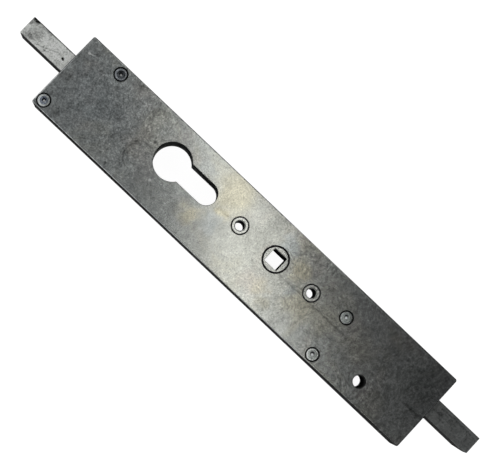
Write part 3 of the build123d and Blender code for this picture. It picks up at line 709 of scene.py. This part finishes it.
def turned_heads(name, places, rims, discs, roughness, pitch, step, sides, dimple, glint,
                 rubs, edges=(0.0, 0.0)):
    """Two turned heads: a rubbed rim, a disc with turning marks inside a step, and a dimple.

    Of each pair of values, the first is for the left head and the second for the right one.
    Of the last two pairs, the first says how far each rim is scuffed on its lit side, which paints
    light there, and the second how bright the painted highlight ring round the socket is."""
    material, g = new_graph(name)
    at = g.position()
    x, y, z = g.parts(at)
    first, second = [Vector((*place, 0)) for place in places]
    right = g.math("GREATER_THAN", x, (first.x + second.x) / 2)
    centre = g.add("ShaderNodeMix", {0: right, 4: first, 5: second}, data_type="VECTOR").outputs[1]
    local = g.vector("SUBTRACT", at, centre)
    distance = g.distance(local, (0, 0))
    lit = g.vector("DOT_PRODUCT", local, (*(-IMAGE_RIGHT), 0), output=1)
    rings = g.math("SINE", g.times(distance, 2 * math.pi / pitch))
    blotches = g.noise(at, 0.9, 3.0, 0.8)
    grain = g.noise(at, 2.2, 2.0, 0.8)

    # Colour, from the rim to the glint in the dimple
    colour = g.mix(g.span(distance, step + 0.12, step - 0.12),
                   g.mix(right, *rims), g.mix(right, *discs))
    # The lit term paints each head lighter on its left side: painted light
    shade = g.total((blotches, 1.3, 0.5), (grain, 1.8, 0.5), (rings, 0.16, 0), (lit, 0.13, 0))
    shade = g.minus(shade, g.times(g.ring(local, (0, 0), step, 0.25), 0.35))
    colour = g.shaded(colour, shade)
    side = sides(g, x, y, z)
    colour = g.mix(side, colour, TURNED_SIDE)
    # Painted shadow: a dark crescent on the dimple's upper side
    dark = g.disc(local, 0.65 * dimple * IMAGE_UP, dimple * 1.42, dimple * 0.3)
    colour = g.mix(dark, colour, DIMPLE_SHADOW)
    # Painted highlight: a light disc in the dimple, over a bowl whose metal also reflects the
    # lamps
    bright = g.disc(local, (0, 0), dimple * 0.8, dimple * 0.2)
    colour = g.mix(bright, colour, glint)
    # Painted highlight: a thin light ring round the socket
    edge = g.times(g.ring(local, (0, 0), SOCKET_RING, 0.3), g.either(right, *edges))
    edge = g.times(edge, g.span(blotches, 0.40, 0.55, 0.4, 1.0))
    colour = g.mix(edge, colour, glint)

    # Less of a mirror: the sides, and where light and shade are painted on the dimple, rims and
    # ring
    # rubbed is a diffuse share on each rim's lit side only: painted light
    rubbed = g.times(g.span(distance, step - 0.15, step + 0.25), g.span(lit, -2.2, 2.2))
    # core keeps the glint mostly diffuse, so the painted highlight stays bright
    core = g.disc(local, (0, 0), dimple * 0.75, dimple * 0.2)
    flat = g.larger(side, g.minus(dark, bright, clamp=True), clamp=True)
    flat = g.larger(flat, g.times(rubbed, g.either(right, *rubs)))
    flat = g.larger(flat, g.times(core, 0.85))
    flat = g.larger(flat, edge)
    rough = g.uneven(blotches, roughness, 0.03, 0.04)
    rough = g.larger(rough, g.times(side, WALL_ROUGHNESS))
    height = g.plus(g.times(rings, 0.4), g.times(blotches, 0.4))
    g.finish(colour, rough, g.minus(1.0, flat), height, TURNED_RELIEF)
    return material


# Pieces

SCREWS = ("upper_left_screw", "upper_right_screw")
RIVETS = ("lower_left_rivet", "lower_right_rivet")
BUSHES = ("upper_handle_bush", "lower_handle_bush")

# Fasteners, in metres: the sizes of their heads, shanks and tails
HEAD_RADIUS = 0.0027
SCREW_HEAD_HEIGHT = 0.003
SCREW_SHANK_RADIUS = 0.00148
RIVET_HEAD_HEIGHT = 0.002
RIVET_SHANK_RADIUS = 0.0017
RIVET_TAIL_HEIGHT = 0.0012

# Fasteners, in metres: the fine forms of their heads
HEAD_BEVEL = 0.0001
RECESS_EDGE = (0.00186, 0.00178)
RECESS_DEPTH = 0.0002
HEXAGON_FADE = (0.0023, 0.00175)
SOCKET_CONE_RADIUS = 0.0009
SOCKET_CONE_SLOPE = 0.11
DISH_RADIUS = 0.0019
DISH_EDGE = 0.00012
DISH_DEPTH = 0.0002
DIMPLE_DEPTH = 0.00022
BOWL_DEPTH = 0.00009
GROOVE_DEPTH = 0.000006

# A hexagon's mean radius and its inverse, where half its width across the flats is 1
HEXAGON_MEAN = 1.047
HEXAGON_INVERSE = 0.955

# Facets and rings of the fasteners' rods, how far a shank reaches into its head, and the height
# difference, in metres, that tells a rod's ends apart
HEAD_FACETS = 96
HEAD_RINGS = 54
TAIL_RINGS = 12
SHANK_FACETS = 48
OVERLAP = 0.0004
SAME_HEIGHT = 1e-6

# Bushes, in millimetres: their ends, the bevels and mouths there, and the collar between the walls
BUSH_RADIUS = 3.7
BUSH_BEVEL = 0.1
FACE_RIM = 0.04
COLLAR_RADIUS = 4.5
WALL_THICKNESS = 2.3
MOUTH_STEP = 0.12
MOUTH_WIDTH = 0.38
MOUTH_DEPTH = 0.42
MOUTH_END = 0.9
ROOT_START = 1.2

# Half the width of the hub's square socket, and the deadlock slide's middle, in millimetres
SOCKET_HALF = 3.55
SLIDE_MIDDLE = (0, 60)

# Radius and strength of the painted shade round each fastener's counterbore, widening its gap
GAP_SHADE = (3.45, -0.75)

# The angle at an edge, in radians, from which it looks crisp
CRISP_ANGLE = 0.5


def give(node, material):
    """Puts one material in all of a CAD node's slots."""
    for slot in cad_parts[node].material_slots:
        slot.link = "OBJECT"
        slot.material = material


def finish_case():
    look = bpy.context.scene.lock_case
    # Painted shade: dark rings round the fasteners' counterbores
    gap_shade = [("gap_shade", centre_of(node), *GAP_SHADE) for node in SCREWS + RIVETS]
    give("case_body", tumbled_metal("tumbled_case", look, shaded_edges(*faces_of("case_body")),
                                    CASE_MARKS + gap_shade, CASE_SCUFFS, CASE_ZONES))
    give("cover_plate", tumbled_metal("tumbled_cover", look,
                                      between_faces(*faces_of("cover_plate")), tint=0.5))


def finish_bolts():
    look = bpy.context.scene.lock_bolt
    lower = look.roughness - look.polish
    for node, metal, roughness, marks, scuffs in (
            ("upper_bolt", look.upper, look.roughness, UPPER_BOLT_MARKS, UPPER_BOLT_SCUFFS),
            # The lower bolt's darker colour is painted shade
            ("lower_bolt", look.lower, lower, LOWER_BOLT_MARKS, [])):
        give(node, drawn_steel(f"drawn_{node}", metal, roughness, marks, scuffs,
                               between_faces(*faces_of(node))))


def finish_hub():
    look = bpy.context.scene.lock_hub
    give("drive_hub", turned_steel("turned_hub", look.metal, look.roughness, (0, 0), 0.5,
                                   between_faces(*faces_of("drive_hub")), socket=SOCKET_HALF))


def finish_inside():
    look = bpy.context.scene.lock_inside
    slide = turned_steel("zinced_slide", look.slide, 0.36, SLIDE_MIDDLE, 9.0, no_sides)
    give("deadlock_slide", slide)
    for node, made, metal, roughness, pitch in (
            ("upper_rack_bar", "blanked", look.bar, 0.38, 6.0),
            ("lower_rack_bar", "blanked", look.bar, 0.38, 6.0),
            ("upper_bolt_rivets", "turned", look.bar, 0.3, 0.5),
            ("lower_bolt_rivets", "turned", look.bar, 0.3, 0.5),
            ("deadlock_spring", "blued", look.spring, 0.3, 3.0),
            ("bar_drag_spring", "blued", look.spring, 0.3, 3.0)):
        give(node, turned_steel(f"{made}_{node}", metal, roughness, centre_of(node), pitch,
                                no_sides))


class Shape(Graph):
    """A geometry tree with named inputs, whose sizes are in metres."""

    def __init__(self, name, inputs):
        tree = bpy.data.node_groups.new(name, "GeometryNodeTree")
        super().__init__(tree)
        for label, kind in inputs.items():
            tree.interface.new_socket(label, in_out="INPUT", socket_type=f"NodeSocket{kind}")
        tree.interface.new_socket("Geometry", in_out="OUTPUT", socket_type="NodeSocketGeometry")
        self.given = self.add("NodeGroupInput").outputs

    def join(self, *parts):
        node = self.add("GeometryNodeJoinGeometry")
        for part in parts:
            self.tree.links.new(part, node.inputs[0])
        return node.outputs[0]

    def move(self, shape, height):
        return self.out("GeometryNodeTransform", {
            0: shape, "Translation": self.combine(z=height)})

    def rod(self, radius, low, high, around, rings=1):
        """A closed rod on the axis between two heights."""
        rod = self.out("GeometryNodeMeshCylinder", {
            "Vertices": around, "Side Segments": 1, "Fill Segments": rings,
            "Radius": radius, "Depth": self.minus(high, low)}, fill_type="TRIANGLE_FAN")
        return self.move(rod, self.times(self.plus(low, high), 0.5))

    def round_places(self):
        """Each point's position, its height, and its distance from the axis."""
        at = self.out("GeometryNodeInputPosition")
        return at, self.parts(at)[2], self.distance(at, (0, 0))

    def put(self, shape, chosen, places):
        return self.out("GeometryNodeSetPosition", {
            0: shape, "Selection": chosen, "Position": places})

    def spread(self, at, share):
        return self.vector("MULTIPLY", at, self.combine(share, share, 1.0))

    def sink(self, head, top, places, drop):
        """Lowers a head's top face, after its points have moved to their places."""
        return self.put(head, top, self.vector("SUBTRACT", places, self.combine(z=drop)))

    def hand_over(self, shape):
        """Puts the shape at both places, smooths its shading, and gives its material."""
        line = self.out("GeometryNodeMeshLine", {
            "Count": 2, "Start Location": self.given["First place"],
            "Offset": self.given["Second place"]}, mode="END_POINTS", count_mode="TOTAL")
        both = self.out("GeometryNodeInstanceOnPoints", {"Points": line, "Instance": shape})
        real = self.out("GeometryNodeRealizeInstances", {0: both})
        soft = self.out("GeometryNodeSetShadeSmooth", {0: real, "Shade Smooth": True})
        angle = self.out("GeometryNodeInputMeshEdgeAngle")
        crisp = self.out("GeometryNodeSetShadeSmooth", {
            0: soft, "Selection": self.math("GREATER_THAN", angle, CRISP_ANGLE),
            "Shade Smooth": False}, domain="EDGE")
        done = self.out("GeometryNodeSetMaterial", {0: crisp, "Material": self.given["Material"]})
        self.add("NodeGroupOutput", {0: done})


PLACES = {"First place": "Vector", "Second place": "Vector", "Material": "Material"}
HEAD_SIZES = ("Low", "High", "Head height", "Radius", "Shank radius")


def sizes(*names):
    """The inputs of a geometry tree that are plain sizes."""
    return dict.fromkeys(names, "Float")


def dress(name, tree, nodes, values, mesh=None):
    """Runs a geometry tree for a piece that stands for two CAD nodes, and keeps its plain mesh."""
    item = bpy.data.objects.new(name, mesh or bpy.data.meshes.new(name))
    bpy.context.scene.collection.objects.link(item)
    modifier = item.modifiers.new("shape", "NODES")
    modifier.node_group = tree
    first, second = [Vector((*[v * MM for v in centre_of(node)], 0)) for node in nodes]
    values = {"First place": first, "Second place": second, **values}
    for socket in tree.interface.items_tree:
        if socket.in_out == "INPUT" and socket.name in values:
            modifier[socket.identifier] = values[socket.name]
    bpy.context.view_layer.update()
    graph = bpy.context.evaluated_depsgraph_get()
    result = bpy.data.meshes.new_from_object(item.evaluated_get(graph), depsgraph=graph)
    if not result.polygons:
        raise RuntimeError(f"{name}: its geometry tree made nothing")
    item.modifiers.clear()
    item.data = result
    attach(item, "case")
    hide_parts(*nodes)


def head_of(t):
    """A head's plain rod and the height of its underside, then what forms its top face: its
    points' places and distances from the axis, which are on top, and the bevel's drop."""
    under = t.minus(t.given["High"], t.given["Head height"])
    head = t.rod(t.given["Radius"], under, t.given["High"], HEAD_FACETS, HEAD_RINGS)
    at, height, r = t.round_places()
    top = t.math("GREATER_THAN", height, t.minus(t.given["High"], SAME_HEIGHT))
    bevel = t.span(r, HEAD_RADIUS - HEAD_BEVEL, HEAD_RADIUS, 0.0, HEAD_BEVEL)
    return head, under, at, r, top, bevel


def screw_tree():
    """A cap screw: a head with a shallow recess and a hexagon socket, on a shank."""
    t = Shape("cap_screw", {**PLACES, **sizes(*HEAD_SIZES, "Across flats", "Socket depth")})
    own = t.given
    head, under, at, r, top, bevel = head_of(t)
    x, y, _ = t.parts(at)
    sector = t.math("FLOORED_MODULO", t.math("ARCTAN2", y, x), math.pi / 3)
    turn = t.math("COSINE", t.minus(sector, math.pi / 6))
    stretch = t.minus(t.math("DIVIDE", HEXAGON_INVERSE, turn), 1.0)
    stretch = t.plus(1.0, t.times(t.span(r, *HEXAGON_FADE), stretch))
    wall = t.times(t.times(own["Across flats"], 0.5), HEXAGON_MEAN)
    drop = t.times(t.math("LESS_THAN", r, wall), own["Socket depth"])
    drop = t.plus(drop, t.span(r, *RECESS_EDGE, 0.0, RECESS_DEPTH))
    cone = t.times(t.minus(SOCKET_CONE_RADIUS, r), SOCKET_CONE_SLOPE)
    drop = t.plus(t.minus(drop, t.larger(cone, 0.0)), bevel)
    head = t.sink(head, top, t.spread(at, stretch), drop)
    shank = t.rod(own["Shank radius"], own["Low"], t.plus(under, OVERLAP), SHANK_FACETS)
    t.hand_over(t.join(head, shank))
    return t.tree


def rivet_tree():
    """A case rivet: a dished head with turned grooves and a dimple, a shank and a flush tail."""
    t = Shape("case_rivet", {**PLACES, **sizes(
        *HEAD_SIZES, "Tail height", "Dish radius", "Dish depth", "Dimple radius",
        "Groove pitch")})
    own = t.given
    head, under, at, r, top, bevel = head_of(t)
    dish = t.span(r, own["Dish radius"], t.minus(own["Dish radius"], DISH_EDGE))
    hole = t.span(r, own["Dimple radius"], t.times(own["Dimple radius"], 0.8))
    bowl = t.math("POWER", t.math("DIVIDE", r, own["Dimple radius"]), 2.0)
    bowl = t.minus(1.0, bowl, clamp=True)
    turns = t.times(t.math("DIVIDE", r, own["Groove pitch"]), 2 * math.pi)
    groove = t.times(t.plus(t.math("SINE", turns), 1.0), GROOVE_DEPTH)
    drop = t.times(dish, own["Dish depth"])
    drop = t.plus(drop, t.times(hole, DIMPLE_DEPTH))
    drop = t.plus(drop, t.times(bowl, BOWL_DEPTH))
    drop = t.plus(t.plus(drop, groove), bevel)
    head = t.sink(head, top, at, drop)
    tail_top = t.plus(own["Low"], own["Tail height"])
    shank = t.rod(own["Shank radius"], t.minus(tail_top, OVERLAP), t.plus(under, OVERLAP),
                  SHANK_FACETS)
    tail = t.rod(own["Radius"], own["Low"], tail_top, HEAD_FACETS, TAIL_RINGS)
    at, height, _ = t.round_places()
    above = t.math("GREATER_THAN", height, t.plus(own["Low"], SAME_HEIGHT))
    slim = t.math("DIVIDE", own["Shank radius"], own["Radius"])
    tail = t.put(tail, above, t.spread(at, slim))
    t.hand_over(t.join(head, shank, tail))
    return t.tree


def bush_tree():
    """A turned bush, given as a mesh on the axis, with a thread that winds up its bore."""
    t = Shape("threaded_bush", {
        "Bush": "Geometry", **PLACES, **sizes("Low", "High", "Root", "Crest", "Pitch"),
        "Around": "Int"})
    own = t.given
    height = t.minus(own["High"], own["Low"])
    root = t.times(own["Root"], 0.5)
    depth = t.times(t.minus(own["Root"], own["Crest"]), 0.5)
    helix = t.out("GeometryNodeCurveSpiral", {
        "Resolution": own["Around"], "Rotations": t.math("DIVIDE", height, own["Pitch"]),
        "Start Radius": root, "End Radius": root, "Height": height})
    level = t.out("GeometryNodeSetCurveNormal", {0: helix}, mode="Z_UP")
    ridge = t.out("GeometryNodeCurvePrimitiveCircle", {"Resolution": 6, "Radius": depth},
                  mode="RADIUS")
    thread = t.out("GeometryNodeCurveToMesh", {
        "Curve": level, "Profile Curve": ridge, "Fill Caps": True})
    t.hand_over(t.join(own["Bush"], t.move(thread, own["Low"])))
    return t.tree


def lathe(name, profile, steps):
    """A closed ring turned about Z from a profile of (radius, height) in millimetres."""
    shape = bmesh.new()
    rows = []
    for i in range(steps):
        angle = 2 * math.pi * i / steps
        rows.append([shape.verts.new((r * math.cos(angle) * MM, r * math.sin(angle) * MM, z * MM))
                     for r, z in profile])
    for i, row in enumerate(rows):
        after = rows[(i + 1) % steps]
        for j in range(len(profile)):
            k = (j + 1) % len(profile)
            shape.faces.new((row[j], after[j], after[k], row[k]))
    bmesh.ops.recalc_face_normals(shape, faces=shape.faces)
    mesh = bpy.data.meshes.new(name)
    shape.to_mesh(mesh)
    shape.free()
    return mesh


def finish_fasteners():
    look = bpy.context.scene.lock_fastener
    pitch = look.ring_pitch / MM
    low, high = faces_of(SCREWS[0])
    metal = turned_heads(
        "oiled_screws", [centre_of(node) for node in SCREWS],
        rims=(look.rim, shade_of(look.dark, 1.3)), discs=(look.screw, shade_of(look.dark, 0.7)),
        roughness=0.28, pitch=pitch, step=1.8,
        sides=socket_walls(high, high - look.socket_depth / MM), dimple=0.7, glint=look.glint,
        rubs=(0.42, 0.10), edges=(0.0, 0.34))
    dress("cap_screws", screw_tree(), SCREWS, {
        "Material": metal, "Low": low * MM, "High": high * MM, "Head height": SCREW_HEAD_HEIGHT,
        "Radius": HEAD_RADIUS, "Shank radius": SCREW_SHANK_RADIUS,
        "Across flats": look.socket_across, "Socket depth": look.socket_depth})
    low, high = faces_of(RIVETS[0])
    metal = turned_heads(
        "turned_rivets", [centre_of(node) for node in RIVETS],
        rims=(look.rim, shade_of(look.rim, 0.72)), discs=(look.rivet, look.rivet),
        roughness=0.22, pitch=pitch, step=1.9, sides=between_faces(low, high, 0.6),
        dimple=look.dimple / MM / 2, glint=look.glint, rubs=(0.28, 0.20))
    dress("case_rivets", rivet_tree(), RIVETS, {
        "Material": metal, "Low": low * MM, "High": high * MM, "Head height": RIVET_HEAD_HEIGHT,
        "Radius": HEAD_RADIUS, "Shank radius": RIVET_SHANK_RADIUS,
        "Tail height": RIVET_TAIL_HEIGHT, "Dish radius": DISH_RADIUS, "Dish depth": DISH_DEPTH,
        "Dimple radius": look.dimple / 2, "Groove pitch": look.ring_pitch})


def finish_bushes():
    look = bpy.context.scene.lock_bush
    low, high = faces_of(BUSHES[0])
    mouth = look.crest / MM / 2 + MOUTH_STEP
    half = [(look.root / MM / 2, ROOT_START), (mouth, MOUTH_END), (mouth, MOUTH_DEPTH),
            (mouth + MOUTH_WIDTH, 0.0), (mouth + MOUTH_WIDTH + FACE_RIM, 0.0),
            (BUSH_RADIUS - BUSH_BEVEL - FACE_RIM, 0.0), (BUSH_RADIUS - BUSH_BEVEL, 0.0),
            (BUSH_RADIUS, BUSH_BEVEL), (BUSH_RADIUS, WALL_THICKNESS),
            (COLLAR_RADIUS, WALL_THICKNESS)]
    body = lathe("handle_bushes", half + [(r, high - z) for r, z in reversed(half)], HEAD_FACETS)
    axis = centre_of(BUSHES[0])
    metal = turned_steel("turned_bushes", look.metal, 0.20, axis, 0.4,
                         bore_and_wall(low, high, mouth, BUSH_RADIUS, axis), BUSH_RELIEF,
                         mirrored=True)
    dress("handle_bushes", bush_tree(), BUSHES, {
        "Material": metal, "Low": MOUTH_END * MM, "High": (high - MOUTH_END) * MM,
        "Root": look.root, "Crest": look.crest, "Pitch": look.pitch, "Around": look.around}, body)


# Stage

# Places in metres; the camera stands where the photograph was taken from
CAMERA_PLACE = (-0.06116, 0.02515, 0.6224)
CAMERA_TARGET = (-0.00078, 0.0148, 0.015)
CAMERA_UP = (0.72327, 0.68794, 0.06017)
CAMERA_LENS = 100.57
LAMP_TARGET = (0, 0.02, 0.015)
SIDE_SPANS = (0.9, 2.0)

# Lamps: name, place, the direction of the long side, short and long side, power and colour
LAMPS = (
    ("soft_window", (0.0635, 0.0086, 0.75), CAMERA_UP, (0.055, 0.6), "window", (1, 0.99, 0.93)),
    ("fill_panel", (-0.135, 0.215, 0.78), CAMERA_UP, (0.42, 0.8), "fill", (0.96, 1, 1)),
    ("left_panel", (-0.9, 0, 0.7), (0, 1, 0), SIDE_SPANS, "side", (1, 1, 1)),
    ("right_panel", (0.9, 0, 0.7), (0, 1, 0), SIDE_SPANS, "side", (1, 1, 1)),
    ("near_panel", (0, -0.9, 0.7), (1, 0, 0), SIDE_SPANS, "side", (1, 1, 1)),
    ("far_panel", (0, 0.9, 0.7), (1, 0, 0), SIDE_SPANS, "side", (1, 1, 1)),
)

FLOOR_REACH = 4.0
# Just under the lock's back, so that no two faces lie in one plane
FLOOR_HEIGHT = -0.0002
# The floor as the camera and the metal see it: how it takes shadow, and how it glows
SEEN_PAPER = (0.3, 0.3, 0.3, 1)
SEEN_GLOW = 0.955


def hang(name, data, place, target, up):
    """Adds a lamp or camera that looks from a place at a target, with its top towards up."""
    item = bpy.data.objects.new(name, data)
    back = (Vector(place) - Vector(target)).normalized()
    right = Vector(up).cross(back).normalized()
    top = back.cross(right)
    item.matrix_world = Matrix.Translation(place) @ Matrix(
        (right, top, back)).transposed().to_4x4()
    bpy.context.scene.collection.objects.link(item)
    return item


def soft_panel(name, place, along, spans, power, colour):
    """A rectangular lamp that faces the lock, its long side turned along a direction."""
    lamp = bpy.data.lights.new(name, "AREA")
    lamp.shape = "RECTANGLE"
    lamp.size, lamp.size_y = spans
    lamp.energy = power
    lamp.color = colour
    hang(name, lamp, place, LAMP_TARGET, along)


def studio_paper(colour):
    """Paper that takes the lock's shadow, and that the camera and the metal see as near white."""
    material, g = new_graph("studio_floor")
    ray = g.add("ShaderNodeLightPath").outputs
    seen = g.plus(ray["Is Camera Ray"], ray["Is Glossy Ray"])
    seen = g.plus(seen, ray["Is Transmission Ray"], clamp=True)
    paper = g.out("ShaderNodeBsdfDiffuse", {"Color": (*colour, 1)})
    faint = g.out("ShaderNodeBsdfDiffuse", {"Color": SEEN_PAPER})
    glow = g.out("ShaderNodeEmission", {"Strength": SEEN_GLOW})
    white = g.out("ShaderNodeAddShader", {0: faint, 1: glow})
    shown = g.out("ShaderNodeMixShader", {0: seen, 1: paper, 2: white})
    g.add("ShaderNodeOutputMaterial", {0: shown})
    return material


def make_stage():
    scene = bpy.context.scene
    look = scene.lock_stage
    scene.view_settings.view_transform = "Standard"
    mesh = bpy.data.meshes.new("studio_floor")
    mesh.from_pydata([(x * FLOOR_REACH, y * FLOOR_REACH, FLOOR_HEIGHT)
                      for x, y in ((-1, -1), (1, -1), (1, 1), (-1, 1))], [], [(0, 1, 2, 3)])
    mesh.materials.append(studio_paper(look.floor))
    floor = bpy.data.objects.new("studio_floor", mesh)
    scene.collection.objects.link(floor)

    world = bpy.data.worlds.new("studio_room")
    scene.world = world
    world.use_nodes = True
    w = Graph(world.node_tree)
    backdrop = w.out("ShaderNodeBackground", {"Color": (1, 1, 1, 1), "Strength": look.room})
    w.add("ShaderNodeOutputWorld", {0: backdrop})

    for name, place, along, spans, power, colour in LAMPS:
        soft_panel(name, place, along, spans, getattr(look, f"{power}_power"), colour)

    camera = bpy.data.cameras.new("photo_camera")
    camera.sensor_width = 36
    camera.lens = CAMERA_LENS
    camera.clip_start, camera.clip_end = 0.01, 50
    scene.camera = hang("photo_camera", camera, CAMERA_PLACE, CAMERA_TARGET, CAMERA_UP)


# Operators and panel

class LOCK_OT_case(bpy.types.Operator):
    """Gives the case and its cover their tumbled finish"""
    bl_idname = "lock.finish_case"
    bl_label = "Case and cover"

    def execute(self, context):
        finish_case()
        return {"FINISHED"}


class LOCK_OT_bolts(bpy.types.Operator):
    """Gives both bolts their drawn steel finish"""
    bl_idname = "lock.finish_bolts"
    bl_label = "Bolts"

    def execute(self, context):
        finish_bolts()
        return {"FINISHED"}


class LOCK_OT_hub(bpy.types.Operator):
    """Gives the hub its turned finish"""
    bl_idname = "lock.finish_hub"
    bl_label = "Drive hub"

    def execute(self, context):
        finish_hub()
        return {"FINISHED"}


class LOCK_OT_bushes(bpy.types.Operator):
    """Makes the two threaded handle bushes"""
    bl_idname = "lock.finish_bushes"
    bl_label = "Handle bushes"

    def execute(self, context):
        finish_bushes()
        return {"FINISHED"}


class LOCK_OT_inside(bpy.types.Operator):
    """Gives the rack bars, the slide and the springs their finishes"""
    bl_idname = "lock.finish_inside"
    bl_label = "Inner pieces"

    def execute(self, context):
        finish_inside()
        return {"FINISHED"}


class LOCK_OT_fasteners(bpy.types.Operator):
    """Gives the screws and rivets their turned finishes"""
    bl_idname = "lock.finish_fasteners"
    bl_label = "Screws and rivets"

    def execute(self, context):
        finish_fasteners()
        return {"FINISHED"}


class LOCK_OT_stage(bpy.types.Operator):
    """Sets up the floor, the lamps and the camera"""
    bl_idname = "lock.make_stage"
    bl_label = "Studio stage"

    def execute(self, context):
        make_stage()
        return {"FINISHED"}


OPERATORS = (LOCK_OT_case, LOCK_OT_bolts, LOCK_OT_hub, LOCK_OT_bushes, LOCK_OT_inside,
             LOCK_OT_fasteners, LOCK_OT_stage)


class LOCK_PT_panel(bpy.types.Panel):
    """Lists the steps that finish the lock"""
    bl_idname = "LOCK_PT_panel"
    bl_label = "Bi-fold door lock"
    bl_space_type = "VIEW_3D"
    bl_region_type = "UI"
    bl_category = "Door Lock"

    def draw(self, context):
        for operator in OPERATORS:
            self.layout.operator(operator.bl_idname)
        for name in GROUPS:
            box = self.layout.box()
            group = getattr(context.scene, name)
            for key in group.__annotations__:
                box.prop(group, key)


GROUPS = {
    "lock_case": LockCaseFinish,
    "lock_bolt": LockBoltFinish,
    "lock_hub": LockHubFinish,
    "lock_bush": LockBush,
    "lock_inside": LockInsideFinish,
    "lock_fastener": LockFastenerFinish,
    "lock_stage": LockStage,
}


def register():
    for group in GROUPS.values():
        bpy.utils.register_class(group)
    for name, group in GROUPS.items():
        setattr(bpy.types.Scene, name, PointerProperty(type=group))
    for operator in OPERATORS:
        bpy.utils.register_class(operator)
    bpy.utils.register_class(LOCK_PT_panel)


def unregister():
    bpy.utils.unregister_class(LOCK_PT_panel)
    for operator in reversed(OPERATORS):
        bpy.utils.unregister_class(operator)
    for name in GROUPS:
        delattr(bpy.types.Scene, name)
    for group in reversed(GROUPS.values()):
        bpy.utils.unregister_class(group)


def main():
    register()
    bpy.ops.lock.finish_case()
    bpy.ops.lock.finish_bolts()
    bpy.ops.lock.finish_hub()
    bpy.ops.lock.finish_bushes()
    bpy.ops.lock.finish_inside()
    bpy.ops.lock.finish_fasteners()
    bpy.ops.lock.make_stage()


if __name__ == "__main__":
    main()
